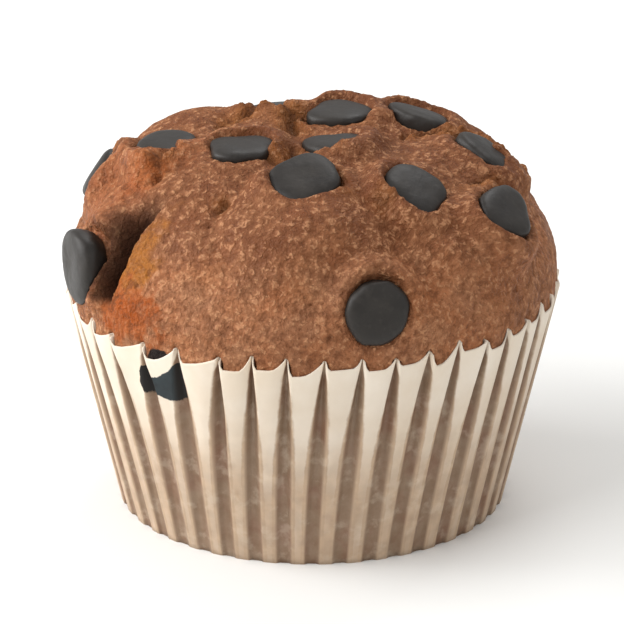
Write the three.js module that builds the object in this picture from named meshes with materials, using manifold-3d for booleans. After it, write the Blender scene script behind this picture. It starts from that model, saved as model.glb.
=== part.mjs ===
// A chocolate chip muffin standing in its pleated paper baking case.
//
// Units are millimetres, +Z is up and the origin is the middle of the case's flat base, on the table.
// -Y is the front, the side that faces the viewer. The muffin is three kinds of piece:
//   crumb        the baked cake: a tapered foot, fluted by the case, and a lumpy dome that swells over the rim
//   paper_case   one thin sheet pressed into a cup, with pleats that deepen from the base to the rim
//   chip_NN      chocolate chips, each set in a pocket of its own in the crumb
import * as THREE from "three";
import { mergeVertices } from "three/addons/utils/BufferGeometryUtils.js";
import Module from "manifold-3d";

// Driving dimensions
const MUFFIN_HEIGHT = 66;
const RIM_RADIUS = 42; // outside of the paper case at its rim
const RIM_HEIGHT = 38;
const BASE_RADIUS = 33;
const DOME_RADIUS = 41.4; // the crumb where it is widest, just above the paper
const DOME_WIDEST = 41.5; // height of that place
const DOME_FULLNESS = 2.4; // exponent of the dome's outline: 2 is an ellipse, more has squarer shoulders
const CHIP_DIAMETER = 11.5;
const CHIP_HEIGHT = 0.62; // from foot to tip, as a share of the chip's diameter
const CHIP_SWELL = 0.1; // how far the middle of the foot bulges, as a share of that height
const PLACES_TRIED = 19; // places on the crown that the rule tries for a chip

// The paper case
const PAPER = 0.3; // thickness
const PLEATS = 44;
const PLEAT_DEPTH_BASE = 0.4;
const PLEAT_DEPTH_RIM = 2.4;
const TIP_RISE = 0.6; // the inner folds stand this much above the outer panels at the rim
const DROOP = 0.2; // how far the rim of one pleat may stand above or below the others
const SKEW = 0.08; // how far a pleat may lean to one side at the rim, as a share of its width
const CREST_SHARE_BASE = 0.3; // share of a pleat's width that is the flat outer panel
const CREST_SHARE_RIM = 0.74; // near the rim the panels spread, until they all but close the folds
const VALLEY_SHARE_BASE = 0.42; // share that lies against the crumb
const VALLEY_SHARE_RIM = 0.06;
const PAPER_ROWS = [0, 0.25, 0.5, 0.72, 0.88, 1];

// Room between pieces that touch
const GAP = 0.3;
const PAPER_GAP = 0.45; // between the crumb and the folds of its case

// The crumb's surface
const FLUTE_FILL = 0.6; // share of each pleat's depth that the crumb fills from behind
const DOME_ROWS = 12;
const UNDERSIDE_ROWS = 3;
const LUMPS = 11;
const LUMP_SPREAD = 35; // the lumps' centres keep within this radius
const LUMP_REACH = 34; // radius of curvature of each lump: smaller makes deeper creases between them
const LUMP_RELIEF = 1.5; // how far lumps lift the crown
const DEEPEST_CREASE = 3; // below the tops of the lumps
const CREASE_SOFTNESS = 0.22;
const RELIEF_FADE = 11; // height over which the relief grows from nothing
const DISH_DEPTH = 0.9; // the shallow dish that the crumb makes round each chip
const DISH_REACH = 0.85; // its reach, as a share of the chip's diameter

const FULL_TURN = 2 * Math.PI;
const GOLDEN_ANGLE = Math.PI * (3 - Math.sqrt(5));
const degrees = (angle) => (angle * Math.PI) / 180;
const mix = (a, b, share) => a + (b - a) * share;

// A repeatable random number from 0 to 1 for item k; each channel gives that item another one.
function scatter(k, channel) {
  const s = Math.sin(k * 12.9898 + channel * 78.233) * 43758.5453;
  return s - Math.floor(s);
}

// Azimuth 0 is the front, and a positive azimuth goes to the viewer's right.
function polar(radius, azimuth, z) {
  return new THREE.Vector3(radius * Math.sin(azimuth), -radius * Math.cos(azimuth), z);
}

// The dome without its relief

const DOME_HEIGHT = MUFFIN_HEIGHT - LUMP_RELIEF - DOME_WIDEST;
const THROAT_HEIGHT = RIM_HEIGHT + TIP_RISE + DROOP + GAP; // where the crumb is clear of the paper

// Radius of the plain dome at a height: a squared-off ellipse above its widest place, upright below.
function domeRadius(z) {
  const up = Math.min(1, Math.max(0, (z - DOME_WIDEST) / DOME_HEIGHT));
  return DOME_RADIUS * (1 - up ** DOME_FULLNESS) ** (1 / DOME_FULLNESS);
}

// Height of the plain dome's upper side at a radius.
function domeHeightAt(radius) {
  const across = (radius / DOME_RADIUS) ** DOME_FULLNESS;
  return DOME_WIDEST + DOME_HEIGHT * (1 - across) ** (1 / DOME_FULLNESS);
}

// Outward normal of the plain dome at an azimuth and height.
function domeNormal(azimuth, z) {
  const step = 0.05;
  const lower = Math.max(DOME_WIDEST, z - step);
  const upper = Math.min(DOME_WIDEST + DOME_HEIGHT - 1e-6, z + step);
  const slope = (domeRadius(upper) - domeRadius(lower)) / (upper - lower);
  const outward = polar(1, azimuth, 0);
  return new THREE.Vector3(outward.x, outward.y, -slope).normalize();
}

const domePoint = (azimuth, z) => polar(domeRadius(z), azimuth, z);

// The chips

// Chips that the front shows: azimuth in degrees, height, diameter, how far each stands out, and its tilt.
const SEEN_CHIPS = [
  { azimuth: -67, height: 46.5, diameter: 13, proud: 2.4, tilt: 12 },
  { azimuth: 17, height: 47.5, diameter: 12.4, proud: 1, tilt: 4 },
  { azimuth: -98, height: 55, diameter: 11, proud: 1.6, tilt: 14 },
];
// One more lies below the rim and presses on the paper.
const SIDE_CHIP = { azimuth: -38, height: 33.4, diameter: 9.6, proud: 0, tilt: 0 };
const LEAST_SPACING = 13;
const TOP_REACH = 38; // chips that follow the rule keep within this radius
// The front of this muffin is bare crust between its seen chips, from azimuth to azimuth and up to a height.
const BARE_FRONT = { from: degrees(-75), to: degrees(12), up_to: 62.3 };

const isBare = (azimuth, height) => {
  const turned = Math.atan2(Math.sin(azimuth), Math.cos(azimuth));
  return turned > BARE_FRONT.from && turned < BARE_FRONT.to && height < BARE_FRONT.up_to;
};

// The rest follow a sunflower rule over the crown, and leave out the places too near another chip.
function chipPlaces() {
  const places = SEEN_CHIPS.map((chip) => ({ ...chip, azimuth: degrees(chip.azimuth) }));
  const centreOf = (chip) => domePoint(chip.azimuth, chip.height);
  for (let k = 0; k < PLACES_TRIED; k++) {
    const radius = TOP_REACH * Math.sqrt((k + mix(0.2, 0.8, scatter(k, 8))) / PLACES_TRIED);
    const chip = {
      azimuth: 0.5 + k * GOLDEN_ANGLE + mix(-0.3, 0.3, scatter(k, 9)),
      height: domeHeightAt(radius),
      diameter: CHIP_DIAMETER * mix(0.86, 1.08, scatter(k, 1)),
      proud: mix(0.5, 2.2, scatter(k, 2)),
      tilt: mix(-18, 18, scatter(k, 3)),
    };
    const near = places.some((other) => centreOf(other).distanceTo(centreOf(chip)) < LEAST_SPACING);
    if (!near && !isBare(chip.azimuth, chip.height)) places.push(chip);
  }
  return places;
}

const CHIPS_ON_TOP = chipPlaces();

// A chip's outline from the middle of its flat foot to its blunt tip, made larger all round by grow.
// The foot faces out of the crumb, where baking has rounded it.
function chipOutline(diameter, grow) {
  const radius = diameter / 2;
  const height = diameter * CHIP_HEIGHT;
  const shape = [
    [0, CHIP_SWELL],
    [0.45, 0.75 * CHIP_SWELL],
    [0.8, -0.02],
    [0.97, -0.17],
    [0.98, -0.32],
    [0.78, -0.6],
    [0.42, -0.86],
    [0, -1],
  ];
  const middle = -0.4;
  return shape.map(([r, z]) => {
    const out = Math.hypot(r, z - middle);
    return new THREE.Vector2(r * radius + (grow * r) / out, z * height + (grow * (z - middle)) / out);
  });
}

// A closed chip, its foot outward along the crumb's normal.
function chipGeometry(chip, centre, normal, grow) {
  const profile = chipOutline(chip.diameter, grow).reverse(); // lathes need the outline from the bottom up
  const geometry = new THREE.LatheGeometry(profile, 12);
  geometry.rotateX(Math.PI / 2); // the lathe's axis is Y, and the chip's is Z
  const tilted = new THREE.Quaternion().setFromAxisAngle(
    new THREE.Vector3(Math.cos(chip.azimuth), Math.sin(chip.azimuth), 0),
    degrees(chip.tilt),
  );
  const turn = new THREE.Quaternion().setFromUnitVectors(new THREE.Vector3(0, 0, 1), normal);
  geometry.applyQuaternion(tilted.multiply(turn));
  geometry.translate(centre.x, centre.y, centre.z);
  return geometry;
}

function chipPose(chip) {
  const normal = domeNormal(chip.azimuth, chip.height);
  const foot = domePoint(chip.azimuth, chip.height).add(crumbRelief(chip.azimuth, chip.height, normal));
  return { centre: foot.addScaledVector(normal, chip.proud), normal };
}

// The crumb's relief

const LUMP_CENTRES = Array.from({ length: LUMPS }, (_, k) => {
  const radius = LUMP_SPREAD * Math.sqrt((k + 0.2) / LUMPS);
  const azimuth = 2.1 + k * GOLDEN_ANGLE + mix(-0.25, 0.25, scatter(k, 4));
  return { at: domePoint(azimuth, domeHeightAt(radius)), lift: mix(-0.5, 0.5, scatter(k, 5)) };
});

// How much the relief shows at a height: nothing over the case's rim, all of it on the crown.
function reliefShare(z) {
  const up = Math.min(1, Math.max(0, (z - DOME_WIDEST) / RELIEF_FADE));
  return up * up * (3 - 2 * up);
}

// The lumps are round mounds that meet in creases: a soft maximum over all of them.
function lumpLift(point) {
  let total = 0;
  for (const lump of LUMP_CENTRES) {
    const d = point.distanceTo(lump.at);
    total += Math.exp((lump.lift - (d * d) / (2 * LUMP_REACH)) / CREASE_SOFTNESS);
  }
  return LUMP_RELIEF + Math.max(-DEEPEST_CREASE, CREASE_SOFTNESS * Math.log(total));
}

// Each chip lies in a shallow dish.
function dishDrop(point) {
  let drop = 0;
  for (const chip of CHIPS_ON_TOP) {
    const d = point.distanceTo(domePoint(chip.azimuth, chip.height));
    drop += DISH_DEPTH * Math.exp(-((d / (DISH_REACH * chip.diameter)) ** 2));
  }
  return drop;
}

function crumbRelief(azimuth, z, normal) {
  const point = domePoint(azimuth, z);
  const lift = lumpLift(point) - dishDrop(point);
  return normal.clone().multiplyScalar(lift * reliefShare(z));
}

// Solids from rings of points

// A closed solid from rings listed from the bottom up, each a list of equally many points, with a point that
// closes each end.
function solidOfRings(bottom, rings, top) {
  const points = [bottom, ...rings.flat(), top];
  const columns = rings[0].length;
  const at = (row, column) => 1 + row * columns + (column % columns);
  const faces = [];
  for (let c = 0; c < columns; c++) {
    faces.push(0, at(0, c + 1), at(0, c));
    for (let r = 0; r + 1 < rings.length; r++) {
      faces.push(at(r, c), at(r, c + 1), at(r + 1, c + 1));
      faces.push(at(r, c), at(r + 1, c + 1), at(r + 1, c));
    }
    faces.push(at(rings.length - 1, c), at(rings.length - 1, c + 1), points.length - 1);
  }
  const geometry = new THREE.BufferGeometry();
  geometry.setAttribute("position", new THREE.Float32BufferAttribute(points.flatMap((p) => [p.x, p.y, p.z]), 3));
  geometry.setIndex(faces);
  return geometry;
}

// The paper case's shape

const crestRadius = (share) => mix(BASE_RADIUS, RIM_RADIUS, share);
const pleatDepth = (share) => mix(PLEAT_DEPTH_BASE, PLEAT_DEPTH_RIM, share ** 1.25);
const pleatSkew = (k, share) => SKEW * mix(-1, 1, scatter(k, 6)) * share; // no two folds are quite alike

// The outer face's section at a share of the wall's height: four corners a pleat, crest then valley.
function paperSection(share) {
  const crest = mix(CREST_SHARE_BASE, CREST_SHARE_RIM, 0.35 * share + 0.65 * share ** 5) / 2;
  const valley = mix(VALLEY_SHARE_BASE, VALLEY_SHARE_RIM, share) / 2;
  const outer = crestRadius(share);
  const inner = outer - pleatDepth(share);
  const lift = TIP_RISE * share ** 6;
  const z = RIM_HEIGHT * share;
  const ring = [];
  for (let k = 0; k < PLEATS; k++) {
    const droop = DROOP * mix(-1, 1, scatter(k, 7)) * share ** 4;
    const corner = (place, radius, rise) =>
      polar(radius, ((k + place + pleatSkew(k, share)) / PLEATS) * FULL_TURN, z + rise + droop);
    ring.push(corner(-crest, outer, 0), corner(crest, outer, 0));
    ring.push(corner(0.5 - valley, inner, lift), corner(0.5 + valley, inner, lift));
  }
  return ring;
}

// The same section moved in by the paper's thickness, square to each side of the fold.
function inset(ring, distance) {
  return ring.map((p, i) => {
    const before = ring[(i + ring.length - 1) % ring.length];
    const after = ring[(i + 1) % ring.length];
    const a = new THREE.Vector2(before.y - p.y, p.x - before.x).normalize();
    const b = new THREE.Vector2(p.y - after.y, after.x - p.x).normalize();
    const miter = a.clone().add(b).normalize();
    const reach = distance / Math.max(0.5, miter.dot(a));
    return new THREE.Vector3(p.x + miter.x * reach, p.y + miter.y * reach, p.z);
  });
}

function paperCaseGeometry() {
  const outside = PAPER_ROWS.map(paperSection);
  const inside = outside.map((ring) => inset(ring, PAPER));
  inside[0].forEach((p) => (p.z = PAPER));
  // Up the outside, over the rim and down the inside: one closed sheet, with the base's two faces as its ends.
  const rings = [...outside, ...inside.reverse()];
  return solidOfRings(new THREE.Vector3(0, 0, 0), rings, new THREE.Vector3(0, 0, PAPER));
}

// The crumb's shape

// Two columns of points run up each pleat, one behind its outer panel and one behind its fold.
const CRUMB_COLUMNS = 2 * PLEATS;

function crumbRing(share, place) {
  return Array.from({ length: CRUMB_COLUMNS }, (_, c) => {
    const pleat = Math.floor(c / 2);
    const behindPanel = c % 2 === 0;
    const turn = pleat + (behindPanel ? 0 : 0.5) + pleatSkew(pleat, share);
    return place((turn / PLEATS) * FULL_TURN, behindPanel);
  });
}

// The crumb's radius inside the case, behind a panel or a fold.
function footRadius(share, behindPanel) {
  const fold = crestRadius(share) - pleatDepth(share) - PAPER - PAPER_GAP;
  return behindPanel ? fold + FLUTE_FILL * pleatDepth(share) : fold;
}

function crumbGeometry() {
  const foot = PAPER_ROWS.map((share) =>
    crumbRing(share, (azimuth, behindPanel) => {
      const z = share < 1 ? RIM_HEIGHT * share : behindPanel ? RIM_HEIGHT : THROAT_HEIGHT;
      return polar(footRadius(share, behindPanel), azimuth, Math.max(PAPER + GAP, z));
    }),
  );
  // Above the case the crumb swells out over the folds, in a quarter round.
  const underside = Array.from({ length: UNDERSIDE_ROWS }, (_, r) => {
    const turn = ((r + 1) / (UNDERSIDE_ROWS + 1)) * (Math.PI / 2);
    return crumbRing(1, (azimuth, behindPanel) => {
      const radius = mix(footRadius(1, behindPanel), DOME_RADIUS, Math.sin(turn));
      return polar(radius, azimuth, mix(DOME_WIDEST, behindPanel ? RIM_HEIGHT : THROAT_HEIGHT, Math.cos(turn)));
    });
  });
  const dome = Array.from({ length: DOME_ROWS }, (_, r) => {
    const rise = Math.sin((r / DOME_ROWS) * (Math.PI / 2)) ** (2 / DOME_FULLNESS);
    const z = DOME_WIDEST + DOME_HEIGHT * rise;
    return crumbRing(1, (azimuth) =>
      domePoint(azimuth, z).add(crumbRelief(azimuth, z, domeNormal(azimuth, z))),
    );
  });
  const apex = DOME_WIDEST + DOME_HEIGHT;
  const crown = new THREE.Vector3(0, 0, apex + lumpLift(new THREE.Vector3(0, 0, apex)));
  return solidOfRings(new THREE.Vector3(0, 0, PAPER + GAP), [...foot, ...underside, ...dome], crown);
}

// Cutting the pockets

const wasm = await Module();
wasm.setup();

function toSolid(geometry) {
  const bare = geometry.clone();
  bare.deleteAttribute("normal");
  bare.deleteAttribute("uv");
  const merged = mergeVertices(bare, 1e-4);
  return new wasm.Manifold(
    new wasm.Mesh({
      numProp: 3,
      vertProperties: new Float32Array(merged.attributes.position.array),
      triVerts: new Uint32Array(merged.index.array),
    }),
  );
}

function toGeometry(solid) {
  const mesh = solid.getMesh();
  const geometry = new THREE.BufferGeometry();
  geometry.setAttribute("position", new THREE.BufferAttribute(mesh.vertProperties, mesh.numProp));
  geometry.setIndex(new THREE.BufferAttribute(mesh.triVerts, 1));
  geometry.computeVertexNormals();
  return geometry;
}

// The parts

const crumbMaterial = new THREE.MeshStandardMaterial({ color: 0x9c6234, roughness: 0.85, metalness: 0 });
const paperMaterial = new THREE.MeshStandardMaterial({ color: 0xe3d6c0, roughness: 0.8, metalness: 0 });
const chipMaterial = new THREE.MeshStandardMaterial({ color: 0x2a1d17, roughness: 0.45, metalness: 0 });

const muffin = new THREE.Group();

function addPart(name, geometry, material) {
  const mesh = new THREE.Mesh(geometry, material);
  mesh.name = name;
  muffin.add(mesh);
}

const poses = CHIPS_ON_TOP.map(chipPose);
// The side chip's face is level with the back of the folds, so that it stays clear of the paper.
const sideAzimuth = degrees(SIDE_CHIP.azimuth);
const sideChip = { ...SIDE_CHIP, azimuth: sideAzimuth };
const sideSwell = SIDE_CHIP.diameter * CHIP_HEIGHT * CHIP_SWELL;
const sideFace = footRadius(SIDE_CHIP.height / RIM_HEIGHT, false) - sideSwell;
const sideNormal = polar(1, sideAzimuth, 0);
const sideCentre = polar(sideFace, sideAzimuth, SIDE_CHIP.height);
const chips = [...CHIPS_ON_TOP, sideChip];
poses.push({ centre: sideCentre, normal: sideNormal });

let crumb = toSolid(crumbGeometry());
chips.forEach((chip, i) => {
  const { centre, normal } = poses[i];
  const name = `chip_${String(i + 1).padStart(2, "0")}`;
  addPart(name, chipGeometry(chip, centre, normal, 0), chipMaterial);
  crumb = crumb.subtract(toSolid(chipGeometry(chip, centre, normal, GAP)));
});
// The flutes of the crumb are cleared from in front of the side chip.
const beyond = sideCentre.clone().addScaledVector(sideNormal, PLEAT_DEPTH_RIM);
crumb = crumb.subtract(toSolid(chipGeometry(sideChip, beyond, sideNormal, GAP)));
addPart("crumb", toGeometry(crumb), crumbMaterial);
addPart("paper_case", paperCaseGeometry(), paperMaterial);

export default muffin;
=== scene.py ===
# %% [markdown]
# # A chocolate chip muffin in its paper case
# The solid model gives every piece its true size and place, and this script gives each its fine shape and
# its finish. Three things make a muffin look like itself: a thin paper case with uneven pleats, stained by
# the cake's fat where the two touch, a domed crust with lumps, creases and fine grain, and dark chips that
# the crust has risen round. Each gets a mesh of its own, with real relief down to about half a millimetre,
# and a material for what is finer than that.

# %% Load the solid model
import math
import bpy
import numpy as np
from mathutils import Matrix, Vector, noise


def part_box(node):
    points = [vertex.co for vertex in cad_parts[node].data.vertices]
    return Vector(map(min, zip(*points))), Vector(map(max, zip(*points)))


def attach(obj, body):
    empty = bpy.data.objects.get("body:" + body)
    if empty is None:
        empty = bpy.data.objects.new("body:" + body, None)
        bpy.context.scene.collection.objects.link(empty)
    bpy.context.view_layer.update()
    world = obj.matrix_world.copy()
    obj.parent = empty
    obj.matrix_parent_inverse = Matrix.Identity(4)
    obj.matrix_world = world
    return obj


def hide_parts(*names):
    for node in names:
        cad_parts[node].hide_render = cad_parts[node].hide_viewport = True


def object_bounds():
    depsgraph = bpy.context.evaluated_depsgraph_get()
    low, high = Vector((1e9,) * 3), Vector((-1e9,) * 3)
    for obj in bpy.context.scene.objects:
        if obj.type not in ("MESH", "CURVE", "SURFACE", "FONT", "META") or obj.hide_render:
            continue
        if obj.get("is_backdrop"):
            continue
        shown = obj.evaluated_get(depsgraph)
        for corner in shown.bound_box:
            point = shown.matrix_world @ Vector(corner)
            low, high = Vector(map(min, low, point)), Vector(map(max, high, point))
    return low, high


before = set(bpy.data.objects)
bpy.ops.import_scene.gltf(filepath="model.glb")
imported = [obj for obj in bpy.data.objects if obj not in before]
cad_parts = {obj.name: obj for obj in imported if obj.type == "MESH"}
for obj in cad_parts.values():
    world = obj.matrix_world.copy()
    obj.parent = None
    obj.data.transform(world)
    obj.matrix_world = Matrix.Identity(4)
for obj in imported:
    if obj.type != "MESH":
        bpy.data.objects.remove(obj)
cad_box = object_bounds()
print("solid pieces:", len(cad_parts), "size:", [round(v, 4) for v in cad_box[1] - cad_box[0]])

# %% [markdown]
# ## Sizes
# Lengths are in metres, and small ones are written as so many millimetres times MM. The rim's radius is read
# from the solid case, so that the two always agree there. The shape of the dome follows the same rule as the
# solid one, a squared-off ellipse turned round the upright axis, so its few values are repeated here.

# %% Driving sizes
MM = 0.001
RIM_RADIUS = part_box("paper_case")[1].x
RIM_HEIGHT = 38 * MM
BASE_RADIUS = 33 * MM
DOME_RADIUS = 41.4 * MM
DOME_WIDEST = 41.5 * MM
DOME_FULLNESS = 2.4
LUMP_RELIEF = 1.5 * MM
DOME_HEIGHT = 66 * MM - LUMP_RELIEF - DOME_WIDEST
PLEATS = 44
FULL_TURN = 2 * math.pi
GOLDEN_ANGLE = math.pi * (3 - math.sqrt(5))
print(f"rim {2 * RIM_RADIUS / MM:.1f} mm across, dome {DOME_HEIGHT / MM:.1f} mm high above its widest place")

# %% [markdown]
# ## Small helpers
# The pieces are worked out with arrays of points, because a rule such as "lift every point by so much of
# this bump" is then one line for the whole surface. Azimuth 0 is the front of the muffin, the -Y side, and
# grows towards the viewer's right. The scattered choices come from a fixed formula, so each run is the same.


# %% Helpers for arrays of points
def scatter(k, channel):
    """A repeatable number from 0 to 1 for item k; each channel gives another one."""
    s = math.sin(k * 12.9898 + channel * 78.233) * 43758.5453
    return s - math.floor(s)


def mix(a, b, share):
    return a + (b - a) * share


def smooth_step(low, high, value):
    """0 below low, 1 above high, with a soft rise between."""
    up = np.clip((value - low) / (high - low), 0, 1)
    return up * up * (3 - 2 * up)


def polar(radius, azimuth, z):
    """Points at a radius, azimuth and height, as rows of x, y, z."""
    radius, azimuth, z = np.broadcast_arrays(radius, azimuth, z)
    return np.stack([radius * np.sin(azimuth), -radius * np.cos(azimuth), z], axis=-1)


def over_points(function, points, size, seed=0.0):
    """One value of a noise function for every point, with features of about the given size."""
    shift = Vector((seed, 1.7 * seed, -0.6 * seed))
    return np.array([function(Vector(p) / size + shift) for p in points.tolist()])


def cloud(points, size, seed=0.0, octaves=3):
    """Soft cloudy noise, roughly from -1 to 1."""
    return over_points(lambda p: noise.fractal(p, 1.0, 2.0, octaves), points, size, seed)


# %% [markdown]
# A piece is made from its points and faces in one call. Smooth shading, the body that it moves with, the
# solids that it stands for and its material slot are set there too, so that no piece can miss one of them.


# %% Helpers that make a finished piece
def add_to_scene(name, data):
    """An object with the given mesh, camera or light, in the scene."""
    thing = bpy.data.objects.new(name, data)
    bpy.context.scene.collection.objects.link(thing)
    return thing


def make_piece(name, points, faces, material, stands_for):
    mesh = bpy.data.meshes.new(name)
    mesh.from_pydata(points.tolist(), [], faces)
    mesh.polygons.foreach_set("use_smooth", [True] * len(mesh.polygons))
    mesh.update()
    piece = add_to_scene(name, mesh)
    mesh.materials.append(material)
    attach(piece, "root")
    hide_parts(*stands_for)
    return piece


def set_mask(piece, name, values):
    """Stores one number for each point of a piece, for its material to read."""
    layer = piece.data.attributes.new(name, "FLOAT", "POINT")
    layer.data.foreach_set("value", np.asarray(values, np.float32))


def ring_faces(rings, columns, first=0):
    """Faces of a tube of rings, each a closed loop of as many points, from the bottom up."""
    faces = []
    for r in range(rings - 1):
        for c in range(columns):
            a = first + r * columns + c
            b = first + r * columns + (c + 1) % columns
            faces.append((a, b, b + columns, a + columns))
    return faces


def closed_tube(rings, columns):
    """Faces of such a tube with both ends closed, to the two points that come after those of its rings."""
    faces = ring_faces(rings, columns)
    low, high = rings * columns, rings * columns + 1
    for c in range(columns):
        d = (c + 1) % columns
        faces.append((low, d, c))
        faces.append((low - columns + c, low - columns + d, high))
    return faces


# %% [markdown]
# ## Camera
# The photograph looks down at the muffin at about 22 degrees, from some 90 cm away and from slightly to
# the right of it. The same direction is kept here, with a long lens that lets the muffin fill the picture.

# %% Place the camera
CAMERA_AWAY = 0.9
CAMERA_ELEVATION = 22
CAMERA_AZIMUTH = 2.9
PICTURE_WIDTH = 0.106  # how wide a strip the picture shows at the muffin
AIM_LOWER = 1 * MM  # than the muffin's middle
aim = Vector((0, 0, 0.5 * cad_box[1].z - AIM_LOWER))


def look_at_muffin(thing, azimuth, elevation, away):
    """Stands a camera or light in a direction given in degrees, so far away, and turns it to the muffin."""
    a, e = math.radians(azimuth), math.radians(elevation)
    toward = Vector((math.sin(a) * math.cos(e), -math.cos(a) * math.cos(e), math.sin(e)))
    thing.location = aim + toward * away
    thing.rotation_euler = toward.to_track_quat("Z", "Y").to_euler()


camera_data = bpy.data.cameras.new("camera")
camera_data.lens = camera_data.sensor_width * CAMERA_AWAY / PICTURE_WIDTH
camera_data.clip_start = 0.05
camera_data.clip_end = 20
camera = add_to_scene("camera", camera_data)
look_at_muffin(camera, CAMERA_AZIMUTH, CAMERA_ELEVATION, CAMERA_AWAY)
bpy.context.scene.camera = camera
print(f"lens {camera_data.lens:.0f} mm, camera {camera.location.z:.2f} m up")

# %% [markdown]
# ## Finishes
# Brown crust, paper and chocolate all have colour that drifts from place to place and a fine grain. Those
# two effects are built once, as node groups with named sockets, and every material sets its own scale and
# strength. They read the piece's own coordinates, so the pattern is tied to the piece from every side.


# %% Helpers for shader nodes
def new_group(name, inputs, outputs):
    """An empty node group: each input is a name, a socket kind and a starting value."""
    group = bpy.data.node_groups.new(name, "ShaderNodeTree")
    for label, kind, value in inputs:
        socket = group.interface.new_socket(label, in_out="INPUT", socket_type="NodeSocket" + kind)
        if value is not None:
            socket.default_value = value
    for label, kind in outputs:
        group.interface.new_socket(label, in_out="OUTPUT", socket_type="NodeSocket" + kind)
    return group, group.nodes.new("NodeGroupInput"), group.nodes.new("NodeGroupOutput")


def plug(tree, socket, value):
    """Links a socket to another node's one, or sets it to a plain value."""
    if isinstance(value, bpy.types.NodeSocket):
        tree.links.new(value, socket)
    else:
        socket.default_value = value


def add_node(tree, kind, settings=None, **values):
    """A shader node with its settings, and its sockets set or linked by name."""
    node = tree.nodes.new("ShaderNode" + kind)
    for key, value in (settings or {}).items():
        setattr(node, key, value)
    for label, value in values.items():
        plug(tree, node.inputs[label.replace("_", " ")], value)
    return node


def calculate(tree, operation, first, second, kind="Math"):
    """One step of arithmetic on sockets or numbers, or on vectors with the kind VectorMath."""
    node = add_node(tree, kind, {"operation": operation})
    plug(tree, node.inputs[0], first)
    plug(tree, node.inputs[1], second)
    return node.outputs[0]


def soft_range(tree, value, low, high):
    """A mask that is 0 where the value is at low, 1 where it is at high, with a soft rise between."""
    node = add_node(
        tree, "MapRange", {"interpolation_type": "SMOOTHSTEP"}, Value=value, From_Min=low, From_Max=high,
    )
    return node.outputs["Result"]


MIX_SHARE, MIX_FIRST, MIX_SECOND = 0, 6, 7  # the Mix node's sockets for colours, whose names are not unique
MIX_RESULT = 2


def tint(tree, colour, mask, other, strength=1.0):
    """A colour that turns into another one under a mask. Each is a socket or a red, green, blue triple."""
    node = add_node(tree, "Mix", {"data_type": "RGBA"})
    plug(tree, node.inputs[MIX_SHARE], calculate(tree, "MULTIPLY", mask, strength))
    for place, value in ((MIX_FIRST, colour), (MIX_SECOND, other)):
        plug(tree, node.inputs[place], (*value, 1) if isinstance(value, tuple) else value)
    return node.outputs[MIX_RESULT]


def painted(red, green, blue):
    """A colour given as seen on a screen, 0 to 255, as the light that a surface gives back."""
    shares = [c / 255 for c in (red, green, blue)]
    return tuple(c / 12.92 if c <= 0.04045 else ((c + 0.055) / 1.055) ** 2.4 for c in shares)


# %% [markdown]
# Baked and soaked things change colour in soft clouds. A noise whose values are stretched round a middle
# gives a mask for that. Offset moves the pattern, so that two masks in one material don't fall together.

# %% Effect: cloudy drift of colour
drift_group, drift_in, drift_out = new_group(
    "cloudy_drift",
    [
        ("Size", "Float", 0.01),
        ("Middle", "Float", 0.5),
        ("Softness", "Float", 0.2),
        ("Offset", "Float", 0.0),
    ],
    [("Mask", "Float")],
)
coordinates = add_node(drift_group, "TexCoord").outputs["Object"]
shifted = calculate(drift_group, "ADD", coordinates, drift_in.outputs["Offset"], "VectorMath")
per_metre = calculate(drift_group, "DIVIDE", 1.0, drift_in.outputs["Size"])
clouds = add_node(drift_group, "TexNoise", Vector=shifted, Scale=per_metre, Detail=4.0, Roughness=0.55)
lower = calculate(drift_group, "SUBTRACT", drift_in.outputs["Middle"], drift_in.outputs["Softness"])
upper = calculate(drift_group, "ADD", drift_in.outputs["Middle"], drift_in.outputs["Softness"])
plug(drift_group, drift_out.inputs["Mask"], soft_range(drift_group, clouds.outputs["Fac"], lower, upper))
print("effect:", drift_group.name)

# %% [markdown]
# None of these surfaces is smooth close up. A finer noise dents them, through a Bump node, which costs no
# triangles. It takes in a normal that is already bent, so that it can lie over coarser dents.

# %% Effect: fine grain that dents the surface
grain_group, grain_in, grain_out = new_group(
    "fine_grain",
    [("Size", "Float", 0.001), ("Depth", "Float", 0.0001), ("Normal", "Vector", None)],
    [("Normal", "Vector")],
)
coordinates = add_node(grain_group, "TexCoord").outputs["Object"]
per_metre = calculate(grain_group, "DIVIDE", 1.0, grain_in.outputs["Size"])
grains = add_node(grain_group, "TexNoise", Vector=coordinates, Scale=per_metre, Detail=3.0, Roughness=0.6)
dent = add_node(
    grain_group, "Bump",
    Strength=1.0, Distance=grain_in.outputs["Depth"], Height=grains.outputs["Fac"],
    Normal=grain_in.outputs["Normal"],
)
plug(grain_group, grain_out.inputs["Normal"], dent.outputs["Normal"])
print("effect:", grain_group.name)

# %% [markdown]
# Every material here is made in the same order: masks first, then colours mixed by them, then the finish.
# Masks from noise repeat the same way all over. Masks that belong to one place are stored in the mesh, as a
# number for each point. A stain with a crisp edge is stored as a depth, whose step can be as sharp as liked.


# %% Helpers that start a material, mask it and finish it
def new_material(name):
    material = bpy.data.materials.new(name)
    material.use_nodes = True
    tree = material.node_tree
    return material, tree, tree.nodes["Principled BSDF"]


def place_effect(tree, group, **values):
    node = tree.nodes.new("ShaderNodeGroup")
    node.node_tree = group
    for label, value in values.items():
        plug(tree, node.inputs[label], value)
    return node


def drift(tree, **values):
    return place_effect(tree, drift_group, **values).outputs["Mask"]


def read_mask(tree, name):
    return add_node(tree, "Attribute", {"attribute_name": name}).outputs["Fac"]


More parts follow.
